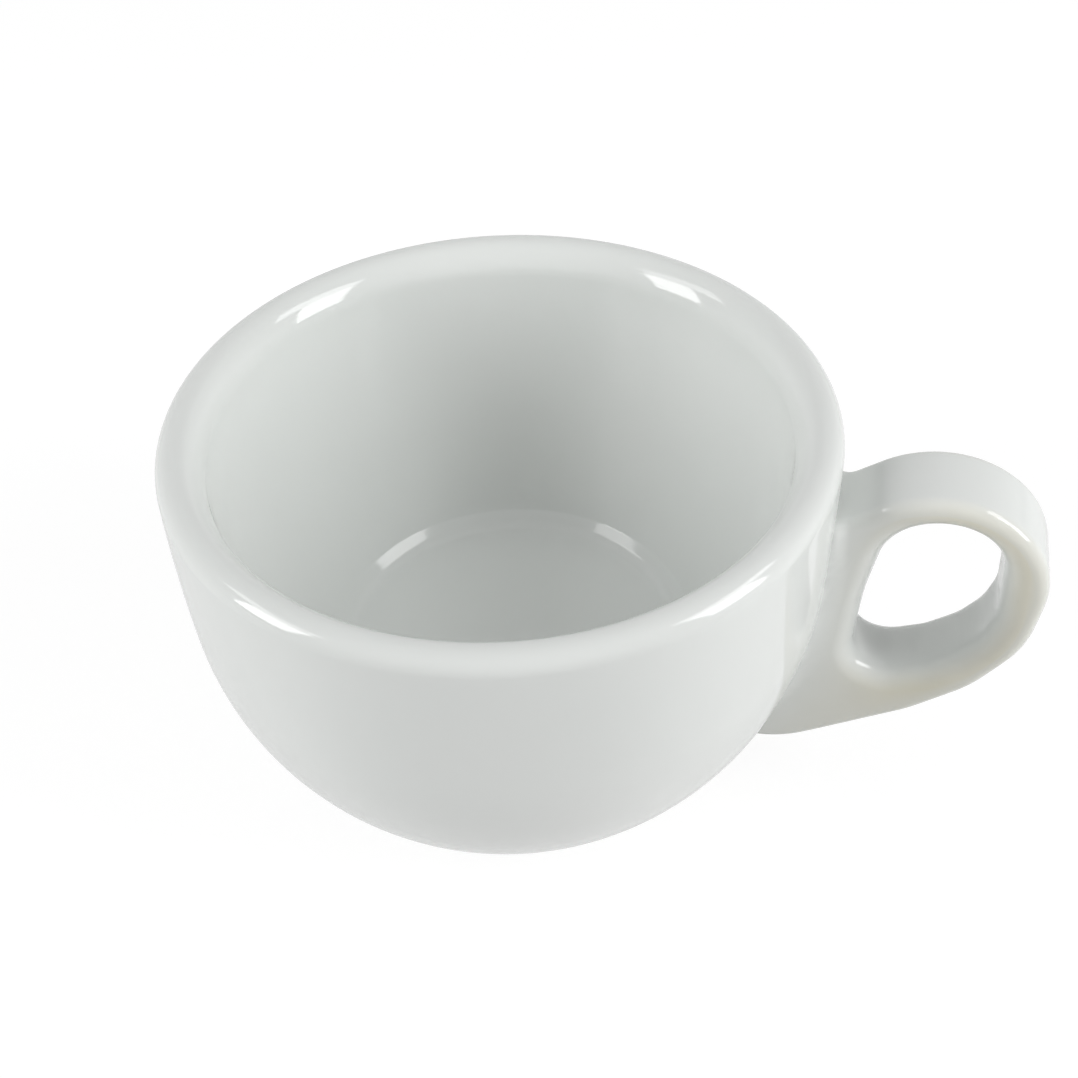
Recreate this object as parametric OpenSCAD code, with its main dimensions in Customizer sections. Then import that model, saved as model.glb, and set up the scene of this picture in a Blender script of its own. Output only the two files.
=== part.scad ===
// Thick-walled cappuccino cup: a turned porcelain bowl and a cast handle, joined with slip and glazed.
// Millimetres. +Z is up, the origin is the centre of the resting plane, and the handle points along +X.

/* [Bowl outside] */
// Diameter over the rim
rim_d = 94; // [88:0.5:104]
// Height from the table to the top of the rim
cup_h = 63.5; // [60:0.5:70]
// Thickness of the rim: its outer side and its top are one round of half this radius
rim_wall = 5.3; // [4:0.1:6.5]
// Radius of the round belly, seen from the side
belly_r = 48; // [46:0.5:52]
// How much narrower than the rim the belly is at its widest, on each side
belly_inset = 0.7; // [0.4:0.1:2]

/* [Bowl inside] */
// Height of the inside floor above the table
floor_h = 20; // [17:0.1:24]
// Diameter of the flat of the inside floor
floor_d = 48.2; // [42:0.2:54]
// Width of the sloping band round the floor, along its slope
band_w = 1.7; // [1:0.1:2.5]
// Slope of that band, in degrees: less than the wall's, so that they meet in a faint line
band_slope = 43; // [40:1:46]
// Radius between the band and the floor
floor_fillet_r = 3; // [2:0.25:4]
// Lean of the inside wall from upright under the rim, in degrees
wall_draft = 4; // [2:0.5:8]
// Radius of the rim's inner round, which is wider than the outer one
lip_in_r = 5.8; // [4:0.1:7]
// How far past the top of the rim the inner round begins, in degrees
lip_turn = 39; // [30:1:50]

/* [Foot] */
// Diameter of the foot ring
foot_d = 48; // [42:0.5:52]
// Height at which the belly runs into the foot ring
foot_h = 2.3; // [2:0.1:4]
// Width of the foot ring
foot_w = 4.5; // [4:0.1:7]
// Radius in the corner between the belly and the foot ring
foot_fillet_r = 1.2; // [0.8:0.1:1.4]
// Radius on the edges of the resting land
foot_edge_r = 0.8; // [0.4:0.1:0.9]
// Depth of the recess inside the foot ring
recess_h = 5.5; // [4:0.1:7]
// Radius between the recess wall and its ceiling
recess_fillet_r = 2.5; // [1:0.1:3]

/* [Handle finger hole] */
// Radius of the hole's top round
hole_top_r = 8.4; // [7.5:0.1:9]
// Centre of the top round, out from the side of the rim
hole_top_out = 14.3; // [13.5:0.1:16]
// Centre of the top round, below the top of the rim
hole_top_drop = 16.9; // [16:0.1:19]
// Radius of the hole's far side
hole_side_r = 9.1; // [8:0.1:9.5]
// Centre of the far side, out from the side of the rim
hole_side_out = 13.7; // [12.5:0.1:15]
// Centre of the far side, below the centre of the top round
hole_side_drop = 6.6; // [5:0.1:8]
// Radius of the hole's lower side
hole_low_r = 8.1; // [7:0.1:8.5]
// Centre of the lower side, out from the side of the rim
hole_low_out = 12.4; // [11:0.1:13.5]
// Centre of the lower side, below the centre of the top round
hole_low_drop = 10.1; // [9:0.1:11]
// Radius of the hole's corner next to the bowl
hole_corner_r = 5.2; // [4:0.1:6]
// Centre of that corner, out from the side of the rim
hole_corner_out = 9; // [8.5:0.1:10]
// Centre of that corner, below the centre of the top round
hole_corner_drop = 15; // [13.5:0.1:16]
// Radius on the edges of the hole
hole_edge_r = 3.2; // [1.5:0.1:4]

/* [Handle strap] */
// Width of the strap across the handle
strap_w = 12.2; // [10:0.1:14]
// Radius on the outer edges of the strap
strap_edge_r = 1.8; // [1.2:0.1:2.2]
// Thickness of the strap over the top of the hole
strap_top = 4.7; // [4.2:0.1:6]
// Thickness of the strap at its farthest point from the bowl
strap_far = 6.1; // [5:0.1:7]
// Thickness of the strap on its outer bend, beside the hole's far side
strap_side = 5.5; // [4.8:0.1:6.5]
// Thickness of the strap on the slant below the hole
strap_low = 7; // [6:0.1:8]
// Radius of the upper outer bend
bend_top_r = 15.4; // [14:0.1:17]
// Radius of the middle outer bend
bend_side_r = 17.3; // [16:0.1:19]
// Direction that the middle bend faces, in degrees below level
bend_side_a = 25; // [20:1:30]
// How far the centre of the middle bend lies back along its tangent
bend_side_shift = 0.9; // [0:0.1:2]
// Radius of the lower outer bend
bend_low_r = 17.9; // [16.5:0.1:19.5]
// Direction that the lower bend faces, in degrees below level
bend_low_a = 60; // [56:1:64]
// How far the centre of the lower bend lies back along its tangent, towards the bowl
bend_low_shift = 8.8; // [7.5:0.1:10]

/* [Handle root] */
// Radius of the upper end of the root, which runs into the wall
root_top_r = 3.6; // [2.5:0.1:5]
// Centre of that end, in from the side of the rim
root_top_in = 2.6; // [1:0.1:4]
// Centre of that end, below the top of the rim
root_top_drop = 17.3; // [15:0.1:20]
// Radius of the lower end of the root, which runs into the belly
root_low_r = 15; // [13:0.1:16]
// Centre of that end, in from the side of the rim
root_low_in = 8.6; // [7:0.1:10]
// Centre of that end, below the top of the rim
root_low_drop = 38.5; // [36:0.1:40]
// How far the root flares out all round where it lands on the bowl
root_flare = 0.7; // [0.4:0.1:1.2]
// Distance from the bowl over which that flare dies away
root_flare_l = 2; // [1.5:0.25:3]

/* [Slip and glaze] */
// Thickness of the fired slip between the handle and the bowl
slip_t = 0.5; // [0.4:0.05:0.8]
// Thickness of the glaze
glaze_t = 0.3; // [0.2:0.02:0.36]
// Height of the bare, wiped band at the foot
bare_h = 1.2; // [1:0.05:1.5]

/* [Hidden] */

body_colour = [0.93, 0.92, 0.89];
glaze_colour = [0.86, 0.88, 0.87];
slip_colour = [0.88, 0.86, 0.82];

// Facets of a full turn, and steps along each stretch of a profile
turn_steps = 144;
short_steps = 8;
rim_steps = 20;
long_steps = 24;

// Steps of the handle: stations round the hole, steps on an edge, steps across a side face
handle_steps = 64;
edge_steps = 3;
side_steps = 4;
// Most that a station is drawn towards the lower end of the root, in degrees
station_pull = 28;
// Least flat left on the strap's side between its two rounded edges
side_land = 0.3;
// Tangents tried on each side of a station when an outline is measured, in degrees
tangent_step = 5;
tangent_span = 80;

rim_r = rim_d / 2;
lip_r = rim_wall / 2;
lip_c = [rim_r - lip_r, cup_h - lip_r];
foot_r = foot_d / 2;
recess_r = foot_r - foot_w;

// The belly's centre lies just past the axis, and the collar is an arc tangent to the belly and the rim
belly_x = rim_r - belly_inset - belly_r;
belly_c = [belly_x, foot_h + sqrt(belly_r ^ 2 - (foot_r - belly_x) ^ 2)];
collar_h = lip_c[1] - belly_c[1];
collar_r = ((belly_r + belly_inset) ^ 2 + collar_h ^ 2 - belly_r ^ 2) / (2 * belly_inset);
collar_c = [rim_r - collar_r, lip_c[1]];
collar_turn = asin(collar_h / (collar_r - belly_r));

// The corner above the foot ring is tangent to the ring and to the belly
foot_fillet_x = foot_r + foot_fillet_r;
foot_fillet_drop = sqrt((belly_r + foot_fillet_r) ^ 2 - (foot_fillet_x - belly_x) ^ 2);
foot_fillet_c = [foot_fillet_x, belly_c[1] - foot_fillet_drop];
foot_turn = atan2(belly_c[1] - foot_fillet_c[1], belly_x - foot_fillet_x);

// The floor is ringed by a round and a sloping band, and the inside wall is one arc from the rim to the band
floor_fillet_c = [floor_d / 2, floor_h + floor_fillet_r];
draft_n = [-cos(wall_draft), sin(wall_draft)];
lip_in_c = lip_c + (lip_r - lip_in_r) * [-sin(lip_turn), cos(lip_turn)];
wall_start = lip_in_c + lip_in_r * draft_n;
// The band is never steeper than the wall above it
wall_lean = atan2(wall_start[0] - floor_d / 2, wall_start[1] - floor_h);
band_a = min(band_slope, 90 - 2 * wall_lean + wall_draft);
wall_foot = band_edge(0);
wall_run = wall_start - wall_foot;
wall_r = wall_run * wall_run / (-2 * wall_run * draft_n);
wall_c = wall_start + wall_r * draft_n;
wall_end = atan2(wall_c[1] - wall_foot[1], wall_foot[0] - wall_c[0]);

// The handle's outlines are hulls of circles [x, z, radius] in its middle plane
hole_top = [rim_r + hole_top_out, cup_h - hole_top_drop, hole_top_r];
hole_side = [rim_r + hole_side_out, hole_top[1] - hole_side_drop, hole_side_r];
hole_low = [rim_r + hole_low_out, hole_top[1] - hole_low_drop, hole_low_r];
hole_corner = [rim_r + hole_corner_out, hole_top[1] - hole_corner_drop, hole_corner_r];
hole_circles = [hole_top, hole_side, hole_low, hole_corner];
strap_far_x = max(hole_top[0] + hole_top_r, hole_side[0] + hole_side_r) + strap_far;
strap_top_z = hole_top[1] + hole_top_r + strap_top;
bend_top = [strap_far_x - bend_top_r, strap_top_z - bend_top_r, bend_top_r];
bend_side = bend_round(hole_side, bend_side_r, strap_side, bend_side_a, bend_side_shift);
bend_low = bend_round(hole_low, bend_low_r, strap_low, bend_low_a, bend_low_shift);
root_top = [rim_r - root_top_in, cup_h - root_top_drop, root_top_r];
root_low = [rim_r - root_low_in, cup_h - root_low_drop, root_low_r];
strap_circles = [bend_top, bend_side, bend_low, root_low, root_top];
// Stations are spaced round this point, in the middle of the hole
pivot = [(hole_top[0] + hole_side[0]) / 2, (hole_top[1] + hole_side[1]) / 2];
// The lower end of the root is farthest from that point, so the stations lie closest together towards it
heel_a = atan2(root_low[1] - root_low_r - pivot[1], root_low[0] - pivot[0]);

// Points on an arc about c, from angle a to angle b
function arc(c, r, a, b, steps) =
    [for (i = [0:steps]) let (q = a + (b - a) * i / steps) c + r * [cos(q), sin(q)]];

// Circle of radius r, its edge t beyond circle c on the side a below level, set back along its tangent
function bend_round(c, r, t, a, back) =
    let (out = c[2] + t - r)
    [c[0] + out * cos(a) - back * sin(a), c[1] - out * sin(a) - back * cos(a), r];

// Upper edge of the sloping band round the floor, sunk by t
function band_edge(t) =
    floor_fillet_c
    + (floor_fillet_r + t) * [sin(band_a), -cos(band_a)]
    + band_w * [cos(band_a), sin(band_a)];

function reversed(list) = [for (i = [len(list) - 1:-1:0]) list[i]];

// Outside of the bowl from the foot ring up to the rim, sunk by t below the glazed surface
function outside_path(t) = concat(
    [[foot_r - t, bare_h]],
    arc(foot_fillet_c, foot_fillet_r + t, 180, foot_turn, short_steps),
    arc(belly_c, belly_r - t, foot_turn - 180, -collar_turn, long_steps),
    arc(collar_c, collar_r - t, -collar_turn, 0, short_steps));

// Rim and inside of the bowl down to the middle of the floor, sunk by t below the glazed surface
function inside_path(t) = concat(
    arc(lip_c, lip_r - t, 0, 90 + lip_turn, rim_steps),
    arc(lip_in_c, lip_in_r - t, 90 + lip_turn, 180 - wall_draft, short_steps),
    arc(wall_c, wall_r + t, -wall_draft, -wall_end, long_steps),
    [band_edge(t)],
    arc(floor_fillet_c, floor_fillet_r + t, band_a - 90, -90, short_steps),
    [[0, floor_h - t]]);

// Recess under the foot, from the middle of its ceiling to the bare land, sunk by t
function recess_path(t) = concat(
    [[0, recess_h + t]],
    arc([recess_r - recess_fillet_r, recess_h - recess_fillet_r], recess_fillet_r + t, 90, 0, short_steps),
    [[recess_r + t, bare_h]]);

// Bare resting land of the foot ring
function land_path(t) = concat(
    arc([recess_r + t + foot_edge_r, foot_edge_r], foot_edge_r, 180, 270, short_steps),
    arc([foot_r - t - foot_edge_r, foot_edge_r], foot_edge_r, 270, 360, short_steps));

// Radius of the glazed wall at height z
function wall_x(z) =
    z < belly_c[1] - belly_r * sin(collar_turn)
        ? belly_c[0] + sqrt(max(0, belly_r ^ 2 - (z - belly_c[1]) ^ 2))
        : collar_c[0] + sqrt(collar_r ^ 2 - (z - collar_c[1]) ^ 2);

// Distance from the pivot to the tangent of the circles, each grown by g, that faces direction a
function tangent_at(circles, g, a) =
    max([for (c = circles) (c[0] - pivot[0]) * cos(a) + (c[1] - pivot[1]) * sin(a) + c[2] + g]);

// Distance from the pivot to the hull of those circles in direction a
function reach(circles, g, a) =
    min([for (d = [-tangent_span:tangent_step:tangent_span]) tangent_at(circles, g, a + d) / cos(d)]);

// Flare of the root at a distance from the bowl
function flare(gap) = root_flare * max(0, 1 - max(0, gap) / root_flare_l) ^ 2;

// Distance from the pivot to the strap's outside in direction a, sunk by t and coved at the bowl
function strap_reach(t, a) =
    let (
        r = reach(strap_circles, -t, a),
        gap = pivot[0] + r * cos(a) - wall_x(pivot[1] + r * sin(a)))
    reach(strap_circles, flare(gap) - t, a);

// One side of the strap's section at station a, sunk by t, from the hole to the outside:
// pairs of distance from the pivot and half width. The hole's edge is flattened where the strap is thin
function half_section(a, t) =
    let (
        w = strap_w / 2 - t,
        hole_e = hole_edge_r - t,
        strap_e = strap_edge_r - t,
        hole = reach(hole_circles, t, a),
        far = strap_reach(t + strap_e, a),
        rise = reach(hole_circles, t + hole_e, a) - hole,
        hole_h = hole_e * min(1, (far - side_land - hole) / rise),
        near = reach(hole_circles, t + hole_h, a))
    concat(
        [for (i = [0:edge_steps]) let (q = 90 * i / edge_steps)
            [reach(hole_circles, t + hole_h * (1 - cos(q)), a), w - hole_e * (1 - sin(q))]],
        [for (i = [1:side_steps - 1]) [near + (far - near) * i / side_steps, w]],
        [for (i = [edge_steps:-1:0]) let (q = 90 * i / edge_steps)
            [strap_reach(t + strap_e * (1 - cos(q)), a), w - strap_e * (1 - sin(q))]]);

// Closed section at station a as points in space, flared near the bowl
function section(a, t) =
    let (
        half = half_section(a, t),
        side = [for (p = half)
            let (x = pivot[0] + p[0] * cos(a), z = pivot[1] + p[0] * sin(a))
            [x, p[1] + flare(x - wall_x(z)), z]])
    concat(side, [for (p = reversed(side)) [p[0], -p[1], p[2]]]);

// Direction of station i from the pivot
function station(i) =
    let (even = 360 * i / handle_steps)
    even - station_pull * sin(even - heel_a);

// The handle before it is scribed to the bowl: sections lofted right round the finger hole
module handle_form(t) {
    rings = [for (i = [0:handle_steps - 1]) section(station(i), t)];
    n = len(rings[0]);
    points = [for (ring = rings) for (p = ring) p];
    faces = [for (i = [0:handle_steps - 1]) for (j = [0:n - 1])
        let (
            here = i * n,
            next = ((i + 1) % handle_steps) * n,
            k = (j + 1) % n)
        each [[here + j, next + k, next + j], [here + j, here + k, next + k]]];
    polyhedron(points, faces, convexity = 6);
}

// Everything inside the bowl's outer surface, sunk by t
module bowl_envelope(t) {
    rotate_extrude($fn = turn_steps)
        polygon(concat([[0, bare_h]], outside_path(t), [[0, lip_c[1]]]));
}

// A layer of the outer wall between two depths
module wall_layer(outer_t, inner_t) {
    rotate_extrude($fn = turn_steps)
        polygon(concat(outside_path(outer_t), reversed(outside_path(inner_t))));
}

// The handle's body down to the middle of the wall, so that it opens the outer glaze and never the inner
module handle_root() {
    difference() {
        handle_form(glaze_t);
        bowl_envelope(lip_r);
    }
}

module bowl() {
    color(body_colour)
        rotate_extrude($fn = turn_steps)
            polygon(concat(
                recess_path(glaze_t),
                land_path(glaze_t),
                outside_path(glaze_t),
                inside_path(glaze_t)));
}

module bowl_glaze() {
    color(glaze_colour)
        difference() {
            rotate_extrude($fn = turn_steps)
                polygon(concat(
                    outside_path(0),
                    inside_path(0),
                    reversed(inside_path(glaze_t)),
                    reversed(outside_path(glaze_t))));
            handle_root();
        }
}

module underside_glaze() {
    color(glaze_colour)
        rotate_extrude($fn = turn_steps)
            polygon(concat(recess_path(0), reversed(recess_path(glaze_t))));
}

module handle() {
    color(body_colour)
        difference() {
            handle_form(glaze_t);
            bowl_envelope(glaze_t - slip_t);
        }
}

module handle_glaze() {
    color(glaze_colour)
        difference() {
            handle_form(0);
            handle_form(glaze_t);
            bowl_envelope(0);
        }
}

module joining_slip() {
    color(slip_colour)
        intersection() {
            wall_layer(glaze_t - slip_t, glaze_t);
            handle_form(glaze_t);
        }
}

bowl();
bowl_glaze();
underside_glaze();
handle();
handle_glaze();
joining_slip();
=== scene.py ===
import math

import bpy
import numpy as np
from mathutils import Matrix, Vector


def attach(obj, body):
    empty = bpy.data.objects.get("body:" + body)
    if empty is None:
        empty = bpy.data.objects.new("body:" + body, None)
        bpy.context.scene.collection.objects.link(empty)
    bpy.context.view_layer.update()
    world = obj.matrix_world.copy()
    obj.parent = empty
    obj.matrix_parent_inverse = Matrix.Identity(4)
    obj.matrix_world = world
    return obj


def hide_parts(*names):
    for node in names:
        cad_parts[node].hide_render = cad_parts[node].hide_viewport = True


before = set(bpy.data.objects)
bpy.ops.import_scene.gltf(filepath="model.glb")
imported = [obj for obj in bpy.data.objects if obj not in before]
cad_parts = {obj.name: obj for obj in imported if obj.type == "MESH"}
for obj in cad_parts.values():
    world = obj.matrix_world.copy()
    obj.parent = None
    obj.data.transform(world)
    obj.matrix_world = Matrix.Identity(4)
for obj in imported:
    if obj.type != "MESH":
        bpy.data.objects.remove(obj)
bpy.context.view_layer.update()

# Sizes of the bowl, in metres
GLAZE_T = 0.0003
RIM_R = 0.047
CUP_H = 0.0635
RIM_WALL = 0.0053
BELLY_R = 0.048
BELLY_INSET = 0.0007
FLOOR_H = 0.0200
FLOOR_R = 0.0241
BAND_W = 0.0017
BAND_SLOPE = math.radians(43)
FLOOR_FILLET_R = 0.003
SOFT_EDGE = 0.0002
WALL_DRAFT = math.radians(4)
LIP_IN_R = 0.0058
LIP_TURN = math.radians(39)
FOOT_R = 0.024
FOOT_H = 0.0023
FOOT_W = 0.0045
FOOT_FILLET_R = 0.0012
FOOT_EDGE_R = 0.0008
RECESS_H = 0.0055
RECESS_FILLET_R = 0.0025
BARE_H = 0.0012

# Circles that the handle's outlines run round, in its middle plane: x, z and radius, in metres
HOLE_CIRCLES = np.array([
    (0.0613, 0.0466, 0.0084),
    (0.06077, 0.04060, 0.00907),
    (0.06038, 0.03898, 0.00891),
    (0.05968, 0.03686, 0.00810),
    (0.05777, 0.03393, 0.00675),
    (0.05576, 0.03134, 0.00495),
])
STRAP_CIRCLES = np.array([
    (0.0605, 0.0443, 0.0154),
    (0.05872, 0.04078, 0.01661),
    (0.05539, 0.03816, 0.01773),
    (0.05035, 0.03456, 0.01787),
    (0.0384, 0.0250, 0.0150),
    (0.0444, 0.0462, 0.0036),
])
# Point in the hole from which both outlines are measured: x and z
PIVOT = np.array([0.0610, 0.0433])
STRAP_W = 0.0122
STRAP_EDGE_R = 0.0018
HOLE_EDGE_R = 0.0032
SIDE_LAND = 0.0003
ROOT_FLARE = 0.0007
ROOT_FLARE_L = 0.002
# Depth below the glazed wall at which the handle's root ends
ROOT_SINK = 2 * GLAZE_T

# Colours of the glaze and of the clay
GLAZE_WHITE = (0.795, 0.812, 0.795)
GLAZE_COOL = (0.770, 0.793, 0.774)
GLAZE_CREAM = (0.744, 0.722, 0.602)
GLAZE_IVORY = (0.776, 0.757, 0.652)
GLAZE_IOR = 1.5
CLAY = (0.760, 0.735, 0.680)
CLAY_PALE = (0.800, 0.780, 0.735)
CLAY_DARK = (0.680, 0.650, 0.590)
CLAY_RUBBED = (0.560, 0.545, 0.510)

# How thin the glaze runs on the handle, from 0 to 1: at the hole's edge and at the strap's edge
THIN_HOLE = 1.0
THIN_STRAP = 0.6
# Distance from the wall at which the handle's glaze is fully thin, in metres
THIN_FADE = 0.015
# Values between which most of a noise lies
NOISE_LOW = 0.3
NOISE_HIGH = 0.7

# Camera at the photograph's view; the azimuth runs from -Y towards +X
CAM_AZIMUTH = math.radians(14)
CAM_ELEVATION = math.radians(38.603)
CAM_DISTANCE = 0.2345
CAM_ROLL = math.radians(-3.825)
CAM_YAW = math.radians(-1.341)
CAM_PITCH = math.radians(3.686)
FOCAL_PX = 1700
IMAGE_PX = 1078
SENSOR_MM = 36

# The floor lies a hair under the foot, so that the two faces do not coincide
FLOOR_Z = -0.00005
FLOOR_HALF = 2
FLOOR_PALE = 0.62
FLOOR_ROUGH = 0.8
# The camera sees a nearly white floor with a faint shadow; reflections show more of the lit floor
FLOOR_GLOW = 0.86
FLOOR_SEEN = 0.2
MIRROR_GLOW = 0.36

LAMP_DISTANCE = 0.8
LAMP_AIM = Vector((0, 0, 0.04))

# Glow of the room by the height of its direction: pale walls, a darker gap and a pale ceiling
ROOM_GLOW = [(0.46, 0.60), (0.60, 0.03), (0.78, 0.03), (0.90, 0.64)]

# Steps of the meshes: round the axis and round the hole, then along each stretch of the profiles
TURN_STEPS = 192
STATIONS = 360
FOOT_FILLET_STEPS = 10
BELLY_STEPS = 60
COLLAR_STEPS = 14
LIP_STEPS = 30
LIP_IN_STEPS = 24
WALL_STEPS = 50
SOFT_STEPS = 4
BAND_STEPS = 6
FLOOR_FILLET_STEPS = 16
FLOOR_STEPS = 11
RECESS_STEPS = 9
RECESS_FILLET_STEPS = 14
FOOT_EDGE_STEPS = 8
BEAD_STEPS = 8
TUNNEL_STEPS = 5
EDGE_STEPS = 12
SIDE_STEPS = 8
FACE_STEPS = 6
# Tangents that are tried for a point of an outline, by their angle from the ray to it
SWEEP = np.radians(np.arange(-84, 84.1, 1.0))
# Radius under which a point of a profile lies on the axis
AXIS_R = 1e-7

# Places of the profile's arcs: centres as (distance from the axis, height), and angles
LIP_R = RIM_WALL / 2
LIP_C = np.array([RIM_R - LIP_R, CUP_H - LIP_R])
RECESS_R = FOOT_R - FOOT_W
BELLY_X = RIM_R - BELLY_INSET - BELLY_R
BELLY_C = np.array([BELLY_X, FOOT_H + math.sqrt(BELLY_R**2 - (FOOT_R - BELLY_X)**2)])
COLLAR_H = LIP_C[1] - BELLY_C[1]
COLLAR_R = ((BELLY_R + BELLY_INSET)**2 + COLLAR_H**2 - BELLY_R**2) / (2 * BELLY_INSET)
COLLAR_C = np.array([RIM_R - COLLAR_R, LIP_C[1]])
COLLAR_TURN = math.asin(COLLAR_H / (COLLAR_R - BELLY_R))
FOOT_FILLET_X = FOOT_R + FOOT_FILLET_R
FOOT_FILLET_DROP = math.sqrt((BELLY_R + FOOT_FILLET_R)**2 - (FOOT_FILLET_X - BELLY_X)**2)
FOOT_FILLET_C = np.array([FOOT_FILLET_X, BELLY_C[1] - FOOT_FILLET_DROP])
FOOT_TURN = math.atan2(BELLY_C[1] - FOOT_FILLET_C[1], BELLY_X - FOOT_FILLET_X)
DRAFT_N = np.array([-math.cos(WALL_DRAFT), math.sin(WALL_DRAFT)])
LIP_IN_C = LIP_C + (LIP_R - LIP_IN_R) * np.array([-math.sin(LIP_TURN), math.cos(LIP_TURN)])
WALL_START = LIP_IN_C + LIP_IN_R * DRAFT_N
FLOOR_FILLET_C = np.array([FLOOR_R, FLOOR_H + FLOOR_FILLET_R])
BAND_N = np.array([math.sin(BAND_SLOPE), -math.cos(BAND_SLOPE)])
BAND_ALONG = np.array([math.cos(BAND_SLOPE), math.sin(BAND_SLOPE)])
WALL_FOOT = FLOOR_FILLET_C + FLOOR_FILLET_R * BAND_N + BAND_W * BAND_ALONG
WALL_RUN = WALL_START - WALL_FOOT
WALL_R = (WALL_RUN @ WALL_RUN) / (-2 * (WALL_RUN @ DRAFT_N))
WALL_C = WALL_START + WALL_R * DRAFT_N
WALL_END = math.atan2(WALL_C[1] - WALL_FOOT[1], WALL_FOOT[0] - WALL_C[0])
SOFT_TURN = SOFT_EDGE / WALL_R


def arc(centre, radius, start, end, steps):
    """Points on an arc, as (distance from the axis, height)."""
    turn = np.linspace(start, end, steps + 1)
    return centre + radius * np.c_[np.cos(turn), np.sin(turn)]


def outside_path(t):
    """Outside of the bowl from the foot ring up to the rim, sunk by t below the glaze."""
    return np.vstack([
        [[FOOT_R - t, BARE_H]],
        arc(FOOT_FILLET_C, FOOT_FILLET_R + t, math.pi, FOOT_TURN, FOOT_FILLET_STEPS),
        arc(BELLY_C, BELLY_R - t, FOOT_TURN - math.pi, -COLLAR_TURN, BELLY_STEPS)[1:],
        arc(COLLAR_C, COLLAR_R - t, -COLLAR_TURN, 0, COLLAR_STEPS)[1:],
    ])


def on_wall(turn, t):
    """Point of the inside wall, sunk by t, at an angle below the wall's centre."""
    return WALL_C + (WALL_R + t) * np.array([math.cos(turn), -math.sin(turn)])


def band_path(t):
    """Sloping band round the floor, from its softened upper edge down to the floor's round."""
    low = FLOOR_FILLET_C + (FLOOR_FILLET_R + t) * BAND_N
    high = low + BAND_W * BAND_ALONG
    edge = (on_wall(WALL_END, t) + high) / 2
    start = on_wall(WALL_END - SOFT_TURN, t)
    end = high - SOFT_EDGE * BAND_ALONG
    share = np.linspace(0, 1, SOFT_STEPS + 1)[:, None]
    soft = (1 - share)**2 * start + 2 * share * (1 - share) * edge + share**2 * end
    return np.vstack([soft, np.linspace(end, low, BAND_STEPS + 1)[1:]])


def inside_path(t):
    """Rim and inside of the bowl down to the middle of the floor, sunk by t below the glaze."""
    lip_end = math.pi / 2 + LIP_TURN
    floor_r = np.linspace(FLOOR_R, 0, FLOOR_STEPS + 1)[1:]
    return np.vstack([
        arc(LIP_C, LIP_R - t, 0, lip_end, LIP_STEPS)[1:],
        arc(LIP_IN_C, LIP_IN_R - t, lip_end, math.pi - WALL_DRAFT, LIP_IN_STEPS)[1:],
        arc(WALL_C, WALL_R + t, -WALL_DRAFT, -WALL_END, WALL_STEPS)[1:-1],
        band_path(t),
        arc(FLOOR_FILLET_C, FLOOR_FILLET_R + t, BAND_SLOPE - math.pi / 2, -math.pi / 2,
            FLOOR_FILLET_STEPS)[1:],
        np.c_[floor_r, np.full(FLOOR_STEPS, FLOOR_H - t)],
    ])


def recess_path(t):
    """Recess under the foot, from the middle of its ceiling to the bare land, sunk by t."""
    centre = np.array([RECESS_R - RECESS_FILLET_R, RECESS_H - RECESS_FILLET_R])
    ceiling_r = np.linspace(0, centre[0], RECESS_STEPS + 1)[:-1]
    return np.vstack([
        np.c_[ceiling_r, np.full(RECESS_STEPS, RECESS_H + t)],
        arc(centre, RECESS_FILLET_R + t, math.pi / 2, 0, RECESS_FILLET_STEPS),
        [[RECESS_R + t, BARE_H]],
    ])


def land_path(t):
    """Bare resting land of the foot ring."""
    inner = np.array([RECESS_R + t + FOOT_EDGE_R, FOOT_EDGE_R])
    outer = np.array([FOOT_R - t - FOOT_EDGE_R, FOOT_EDGE_R])
    return np.vstack([
        arc(inner, FOOT_EDGE_R, math.pi, 1.5 * math.pi, FOOT_EDGE_STEPS),
        arc(outer, FOOT_EDGE_R, 1.5 * math.pi, 2 * math.pi, FOOT_EDGE_STEPS),
    ])


def glaze_end(outer, inner):
    """Round bead that ends a coat, from a point of its surface to the clay under it."""
    centre = (outer + inner) / 2
    radius = abs(outer[0] - inner[0]) / 2
    first = 0 if outer[0] > inner[0] else math.pi
    turn = -math.pi if outer[0] > inner[0] else math.pi
    return arc(centre, radius, first, first + turn, BEAD_STEPS)[1:-1]


def wall_radius(z):
    """Radius of the glazed wall at height z."""
    belly = BELLY_C[0] + np.sqrt(np.maximum(BELLY_R**2 - (z - BELLY_C[1])**2, 0))
    collar = COLLAR_C[0] + np.sqrt(COLLAR_R**2 - (z - COLLAR_C[1])**2)
    return np.where(z < BELLY_C[1] - BELLY_R * math.sin(COLLAR_TURN), belly, collar)


def new_object(name, verts, faces, material):
    """Smooth-shaded piece with one material."""
    mesh = bpy.data.meshes.new(name)
    mesh.from_pydata([tuple(v) for v in verts], [], faces)
    mesh.validate()
    mesh.update()
    mesh.polygons.foreach_set("use_smooth", [True] * len(mesh.polygons))
    mesh.materials.append(material)
    piece = bpy.data.objects.new(name, mesh)
    bpy.context.scene.collection.objects.link(piece)
    return piece


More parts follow.
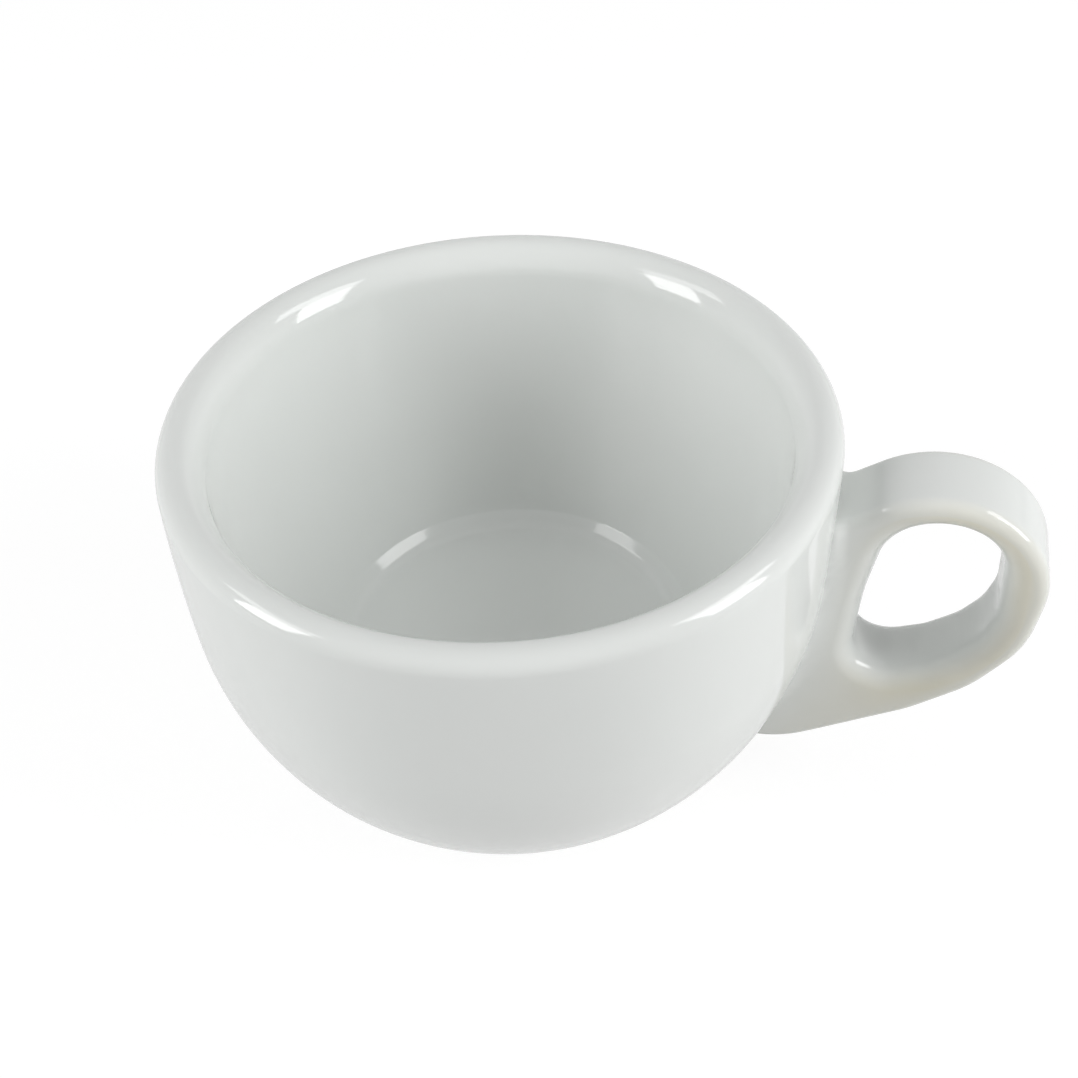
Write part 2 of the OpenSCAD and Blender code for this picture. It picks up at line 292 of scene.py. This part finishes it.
def lathe(name, path, material):
    """Closed solid of revolution; the path starts and ends on the axis, or closes on itself."""
    turn = np.linspace(0, 2 * math.pi, TURN_STEPS, endpoint=False)
    verts, rings = [], []
    for r, z in path:
        if r < AXIS_R:
            rings.append([len(verts)] * TURN_STEPS)
            verts.append((0.0, 0.0, z))
        else:
            rings.append(list(range(len(verts), len(verts) + TURN_STEPS)))
            verts += [(r * math.cos(q), r * math.sin(q), z) for q in turn]
    on_axis = path[0][0] < AXIS_R and path[-1][0] < AXIS_R
    pairs = list(zip(rings[:-1], rings[1:])) + ([] if on_axis else [(rings[-1], rings[0])])
    faces = []
    for low, high in pairs:
        for i in range(TURN_STEPS):
            j = (i + 1) % TURN_STEPS
            corners = [low[i], low[j], high[j], high[i]]
            faces.append(list(dict.fromkeys(corners)))
    return new_object(name, verts, [f for f in faces if len(f) > 2], material)


def reach(circles, grow, angles):
    """Distance from the pivot to the outline round the circles, each grown, in each direction."""
    facing = angles[:, None] + SWEEP
    extra = np.broadcast_to(grow, angles.shape)[:, None]
    along = [
        (x - PIVOT[0]) * np.cos(facing) + (z - PIVOT[1]) * np.sin(facing) + r + extra
        for x, z, r in circles
    ]
    return (np.max(along, axis=0) / np.cos(SWEEP)).min(axis=1)


def flare(gap):
    """Extra width of the strap at a distance from the wall."""
    return ROOT_FLARE * np.maximum(0, 1 - np.maximum(0, gap) / ROOT_FLARE_L)**2


def strap_reach(sink, angles):
    """Distance from the pivot to the strap's outer face, with the cove where it meets the wall."""
    plain_r = reach(STRAP_CIRCLES, -sink, angles)
    x = PIVOT[0] + plain_r * np.cos(angles)
    z = PIVOT[1] + plain_r * np.sin(angles)
    return reach(STRAP_CIRCLES, flare(x - wall_radius(z)) - sink, angles)


def half_section(t, angles):
    """Lines of the handle sunk by t, from the middle of the hole's face to the middle of the outer
    face: distance from the pivot in each direction, y, and how thin the glaze runs."""
    half_w = STRAP_W / 2 - t
    hole_e = HOLE_EDGE_R - t
    strap_e = STRAP_EDGE_R - t
    quarter = np.linspace(0, math.pi / 2, EDGE_STEPS + 1)
    hole = reach(HOLE_CIRCLES, t, angles)
    far = strap_reach(t + strap_e, angles)
    rise = reach(HOLE_CIRCLES, t + hole_e, angles) - hole
    hole_h = hole_e * np.minimum(1, (far - SIDE_LAND - hole) / rise)
    near = reach(HOLE_CIRCLES, t + hole_h, angles)
    lines = [(hole, y, 0) for y in np.linspace(0, half_w - hole_e, TUNNEL_STEPS + 1)[:-1]]
    for q in quarter:
        edge = reach(HOLE_CIRCLES, t + hole_h * (1 - math.cos(q)), angles)
        lines.append((edge, half_w - hole_e * (1 - math.sin(q)), THIN_HOLE * math.sin(q)**3))
    for share in np.linspace(0, 1, SIDE_STEPS + 1)[1:-1]:
        thin = THIN_HOLE + (THIN_STRAP - THIN_HOLE) * share
        lines.append((near + (far - near) * share, half_w, thin))
    for q in quarter[::-1]:
        edge = strap_reach(t + strap_e * (1 - math.cos(q)), angles)
        lines.append((edge, half_w - strap_e * (1 - math.sin(q)), THIN_STRAP * math.sin(q)))
    outer = strap_reach(t, angles)
    return lines + [(outer, y, 0) for y in np.linspace(half_w - strap_e, 0, FACE_STEPS + 1)[1:]]


def strap_loft(t):
    """Grid of points of the handle sunk by t, stations round the hole by points of the section,
    and how thin the glaze runs at each point of the section."""
    angles = np.linspace(0, 2 * math.pi, STATIONS, endpoint=False)
    lines = half_section(t, angles)
    lines += [(r, -y, thin) for r, y, thin in lines[-2:0:-1]]
    grid = np.empty((STATIONS, len(lines), 3))
    for k, (r, y, thin) in enumerate(lines):
        grid[:, k, 0] = PIVOT[0] + r * np.cos(angles)
        grid[:, k, 1] = y
        grid[:, k, 2] = PIVOT[1] + r * np.sin(angles)
    return grid, [thin for r, y, thin in lines]


def seat_on_wall(grid):
    """Widens the strap where it meets the bowl, and lays what is inside the wall just under it."""
    x, y, z = grid[..., 0], grid[..., 1], grid[..., 2]
    share = np.clip(np.abs(y) / (STRAP_W / 2), 0, 1)
    y = y + np.sign(y) * flare(x - wall_radius(z)) * share
    push = np.maximum(1, (wall_radius(z) - ROOT_SINK) / np.hypot(x, y))
    return np.stack([x * push, y * push, z], axis=-1)


def grid_faces(rows, columns, first=0, flip=False):
    """Faces of a grid that closes on itself both ways, facing outward, or inward if flipped."""
    faces = []
    for i in range(rows):
        for j in range(columns):
            a = first + i * columns + j
            b = first + i * columns + (j + 1) % columns
            c = first + ((i + 1) % rows) * columns + (j + 1) % columns
            d = first + ((i + 1) % rows) * columns + j
            faces.append((a, b, c, d) if flip else (a, d, c, b))
    return faces


def mark_thin(piece, verts, thin):
    """Notes how thin the glaze runs at each point: not at all at the wall, and fully away from it."""
    gap = np.hypot(verts[:, 0], verts[:, 1]) - wall_radius(verts[:, 2])
    mark = piece.data.attributes.new("thin", "FLOAT", "POINT")
    mark.data.foreach_set("value", thin * np.clip(gap / THIN_FADE, 0, 1))


def new_material(name):
    material = bpy.data.materials.new(name)
    material.use_nodes = True
    return material, material.node_tree, material.node_tree.nodes["Principled BSDF"]


def noise(tree, scale, detail):
    """Noise in the piece's own metres."""
    where = tree.nodes.new("ShaderNodeTexCoord")
    texture = tree.nodes.new("ShaderNodeTexNoise")
    texture.inputs["Scale"].default_value = scale
    texture.inputs["Detail"].default_value = detail
    tree.links.new(where.outputs["Object"], texture.inputs["Vector"])
    return texture.outputs["Fac"]


def ramp(tree, source, stops):
    """Colours at places along a value."""
    colours = tree.nodes.new("ShaderNodeValToRGB")
    band = colours.color_ramp.elements
    for _ in stops[2:]:
        band.new(0.5)
    for stop, (place, colour) in zip(band, stops):
        stop.position = place
        stop.color = (*colour, 1)
    tree.links.new(source, colours.inputs["Fac"])
    return colours.outputs["Color"]


def spread(tree, source, low, high):
    """Turns the values at which most of a noise lies into a range."""
    fit = tree.nodes.new("ShaderNodeMapRange")
    fit.inputs["From Min"].default_value = NOISE_LOW
    fit.inputs["From Max"].default_value = NOISE_HIGH
    fit.inputs["To Min"].default_value = low
    fit.inputs["To Max"].default_value = high
    tree.links.new(source, fit.inputs["Value"])
    return fit.outputs["Result"]


def bump(tree, shader, source, strength, depth):
    """Fine relief on a shader, its depth in metres."""
    relief = tree.nodes.new("ShaderNodeBump")
    relief.inputs["Strength"].default_value = strength
    relief.inputs["Distance"].default_value = depth
    tree.links.new(source, relief.inputs["Height"])
    tree.links.new(relief.outputs["Normal"], shader.inputs["Normal"])


def blend(tree, factor, first, second):
    """Mix of two colours."""
    mix = tree.nodes.new("ShaderNodeMix")
    mix.data_type = "RGBA"
    tree.links.new(factor, mix.inputs["Factor"])
    tree.links.new(first, mix.inputs["A"])
    tree.links.new(second, mix.inputs["B"])
    return mix.outputs["Result"]


def glaze_material():
    """Glossy white glaze, cool and faintly uneven, creamy where it runs thin over edges."""
    material, tree, shader = new_material("white_glaze")
    pool = noise(tree, scale=16, detail=2)
    white = ramp(tree, pool, [(0.35, GLAZE_COOL), (0.65, GLAZE_WHITE)])
    mottle = noise(tree, scale=120, detail=3)
    cream = ramp(tree, mottle, [(0.35, GLAZE_CREAM), (0.65, GLAZE_IVORY)])
    thin = tree.nodes.new("ShaderNodeAttribute")
    thin.attribute_name = "thin"
    tree.links.new(blend(tree, thin.outputs["Fac"], white, cream), shader.inputs["Base Color"])
    gloss = spread(tree, noise(tree, scale=260, detail=4), low=0.045, high=0.085)
    tree.links.new(gloss, shader.inputs["Roughness"])
    bump(tree, shader, noise(tree, scale=70, detail=1), strength=0.05, depth=0.0004)
    shader.inputs["IOR"].default_value = GLAZE_IOR
    return material


def bare_material():
    """Unglazed porcelain: warm, matt and finely grained, with rub marks."""
    material, tree, shader = new_material("bare_porcelain")
    grain = noise(tree, scale=2600, detail=3)
    clay = ramp(tree, grain, [(0.3, CLAY_DARK), (0.5, CLAY), (0.7, CLAY_PALE)])
    scuffs = noise(tree, scale=420, detail=5)
    rubbed = ramp(tree, scuffs, [(0.5, CLAY), (0.62, CLAY_RUBBED)])
    marks = spread(tree, noise(tree, scale=150, detail=4), low=0.0, high=0.6)
    tree.links.new(blend(tree, marks, clay, rubbed), shader.inputs["Base Color"])
    tree.links.new(spread(tree, grain, low=0.55, high=0.8), shader.inputs["Roughness"])
    bump(tree, shader, grain, strength=0.35, depth=0.0001)
    return material


def slip_material():
    """Fired slip: like the clay, a little darker and with coarser grain."""
    material, tree, shader = new_material("fired_slip")
    grain = noise(tree, scale=1400, detail=4)
    clay = ramp(tree, grain, [(0.35, CLAY_DARK), (0.65, CLAY)])
    tree.links.new(clay, shader.inputs["Base Color"])
    tree.links.new(spread(tree, grain, low=0.6, high=0.85), shader.inputs["Roughness"])
    bump(tree, shader, grain, strength=0.5, depth=0.0002)
    return material


def seen_apart(tree, lit, seen, output):
    """Shows one shader to the camera, in reflections and through glass, and the other elsewhere."""
    nodes, links = tree.nodes, tree.links
    path = nodes.new("ShaderNodeLightPath")
    either = nodes.new("ShaderNodeMath")
    either.operation = "MAXIMUM"
    any_ray = nodes.new("ShaderNodeMath")
    any_ray.operation = "MAXIMUM"
    mix = nodes.new("ShaderNodeMixShader")
    links.new(path.outputs["Is Camera Ray"], either.inputs[0])
    links.new(path.outputs["Is Glossy Ray"], either.inputs[1])
    links.new(either.outputs[0], any_ray.inputs[0])
    links.new(path.outputs["Is Transmission Ray"], any_ray.inputs[1])
    links.new(any_ray.outputs[0], mix.inputs[0])
    links.new(lit.outputs[0], mix.inputs[1])
    links.new(seen.outputs[0], mix.inputs[2])
    links.new(mix.outputs[0], output.inputs["Surface"])


def glowing(tree, strength, lit):
    """Adds a light of its own to a shader."""
    glow = tree.nodes.new("ShaderNodeEmission")
    glow.inputs["Strength"].default_value = strength
    both = tree.nodes.new("ShaderNodeAddShader")
    tree.links.new(glow.outputs[0], both.inputs[0])
    tree.links.new(lit.outputs[0], both.inputs[1])
    return both


def floor_material():
    """Pale floor that the camera sees as nearly white, with the cup's shadow."""
    material, tree, table = new_material("floor")
    table.inputs["Base Color"].default_value = (FLOOR_PALE, FLOOR_PALE, FLOOR_PALE, 1)
    table.inputs["Roughness"].default_value = FLOOR_ROUGH
    shade = tree.nodes.new("ShaderNodeBsdfDiffuse")
    shade.inputs["Color"].default_value = (FLOOR_SEEN, FLOOR_SEEN, FLOOR_SEEN, 1)
    path = tree.nodes.new("ShaderNodeLightPath")
    seen = tree.nodes.new("ShaderNodeMixShader")
    tree.links.new(path.outputs["Is Glossy Ray"], seen.inputs[0])
    tree.links.new(glowing(tree, FLOOR_GLOW, shade).outputs[0], seen.inputs[1])
    tree.links.new(glowing(tree, MIRROR_GLOW, table).outputs[0], seen.inputs[2])
    seen_apart(tree, table, seen, tree.nodes["Material Output"])
    return material


def direction(azimuth, elevation):
    """Unit vector away from the cup; the azimuth runs from -Y towards +X."""
    level = math.cos(elevation)
    return Vector((math.sin(azimuth) * level, -math.cos(azimuth) * level, math.sin(elevation)))


def place_camera():
    data = bpy.data.cameras.new("camera")
    camera = bpy.data.objects.new("camera", data)
    bpy.context.scene.collection.objects.link(camera)
    aim = Vector((0, 0, CUP_H - LIP_R))
    back = direction(CAM_AZIMUTH, CAM_ELEVATION)
    right = Vector((math.cos(CAM_AZIMUTH), math.sin(CAM_AZIMUTH), 0))
    level = Matrix((right, back.cross(right), back)).transposed()
    turn = (
        Matrix.Rotation(CAM_ROLL, 3, "Z")
        @ Matrix.Rotation(CAM_YAW, 3, "Y")
        @ Matrix.Rotation(-CAM_PITCH, 3, "X")
    )
    camera.matrix_world = Matrix.Translation(aim + CAM_DISTANCE * back) @ (level @ turn).to_4x4()
    data.sensor_width = SENSOR_MM
    data.lens = SENSOR_MM * FOCAL_PX / IMAGE_PX
    bpy.context.scene.camera = camera


def softbox(name, azimuth, elevation, wide, high, power):
    """Rectangular lamp that faces the cup; places and sizes are angles seen from the cup, in degrees."""
    data = bpy.data.lights.new(name, "AREA")
    data.shape = "RECTANGLE"
    data.size = 2 * LAMP_DISTANCE * math.tan(math.radians(wide) / 2)
    data.size_y = 2 * LAMP_DISTANCE * math.tan(math.radians(high) / 2)
    data.energy = power
    lamp = bpy.data.objects.new(name, data)
    bpy.context.scene.collection.objects.link(lamp)
    towards = direction(math.radians(azimuth), math.radians(elevation))
    lamp.location = LAMP_AIM + LAMP_DISTANCE * towards
    lamp.rotation_euler = towards.to_track_quat("Z", "Y").to_euler()
    lamp.visible_camera = False


def light_room():
    """Soft light of the room, with a white backdrop for the camera and in reflections."""
    world = bpy.data.worlds.new("studio")
    bpy.context.scene.world = world
    world.use_nodes = True
    tree = world.node_tree
    ambient = tree.nodes["Background"]
    where = tree.nodes.new("ShaderNodeTexCoord")
    parts = tree.nodes.new("ShaderNodeSeparateXYZ")
    tree.links.new(where.outputs["Generated"], parts.inputs[0])
    stops = [(height, (glow, glow, glow)) for height, glow in ROOM_GLOW]
    tree.links.new(ramp(tree, parts.outputs["Z"], stops), ambient.inputs["Color"])
    ambient.inputs["Strength"].default_value = 1
    backdrop = tree.nodes.new("ShaderNodeBackground")
    backdrop.inputs["Color"].default_value = (1, 1, 1, 1)
    seen_apart(tree, ambient, backdrop, tree.nodes["World Output"])


glaze = glaze_material()
bare = bare_material()

# Bowl of clay, with its bare foot
bowl = lathe("bowl_body", np.vstack([
    recess_path(GLAZE_T), land_path(GLAZE_T), outside_path(GLAZE_T), inside_path(GLAZE_T)]), bare)
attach(bowl, "root")
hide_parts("bowl")

# Glaze on the bowl
top = np.vstack([outside_path(0), inside_path(0)])
under = np.vstack([outside_path(GLAZE_T), inside_path(GLAZE_T)])
coat = lathe("bowl_glaze_coat", np.vstack([
    under[::-1], glaze_end(top[0], under[0])[::-1], top]), glaze)
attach(coat, "root")
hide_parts("bowl_glaze")

# Glaze in the recess of the foot
top, under = recess_path(0), recess_path(GLAZE_T)
patch = lathe("underside_glaze_coat", np.vstack([
    top, glaze_end(top[-1], under[-1]), under[::-1]]), glaze)
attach(patch, "root")
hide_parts("underside_glaze")

# Handle of clay
core = seat_on_wall(strap_loft(GLAZE_T)[0])
rows, columns = core.shape[:2]
handle = new_object("handle_body", core.reshape(-1, 3), grid_faces(rows, columns), bare)
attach(handle, "root")
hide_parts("handle")

# Glaze round the handle: its surface, and the clay's surface facing the other way
skin, thin = strap_loft(0)
verts = np.vstack([seat_on_wall(skin).reshape(-1, 3), core.reshape(-1, 3)])
faces = grid_faces(rows, columns) + grid_faces(rows, columns, rows * columns, flip=True)
handle_coat = new_object("handle_glaze_coat", verts, faces, glaze)
mark_thin(handle_coat, verts, np.tile(thin, 2 * rows))
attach(handle_coat, "root")
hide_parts("handle_glaze")

# The joining slip keeps its CAD mesh
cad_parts["joining_slip"].data.materials.clear()
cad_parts["joining_slip"].data.materials.append(slip_material())

corners = [(x * FLOOR_HALF, y * FLOOR_HALF, FLOOR_Z) for x, y in ((-1, -1), (1, -1), (1, 1), (-1, 1))]
floor = new_object("floor", corners, [(0, 1, 2, 3)], floor_material())

# A softbox on each side, and the dimmer upper edge of each
softbox("softbox_right", azimuth=81, elevation=21, wide=20, high=29, power=2.7)
softbox("softbox_left", azimuth=-60.5, elevation=22, wide=19, high=27, power=2.4)
softbox("upper_right", azimuth=88, elevation=41, wide=30, high=12, power=1.05)
softbox("upper_left", azimuth=-70, elevation=41, wide=28, high=12, power=0.65)
light_room()
place_camera()
bpy.context.scene.view_settings.view_transform = "Standard"
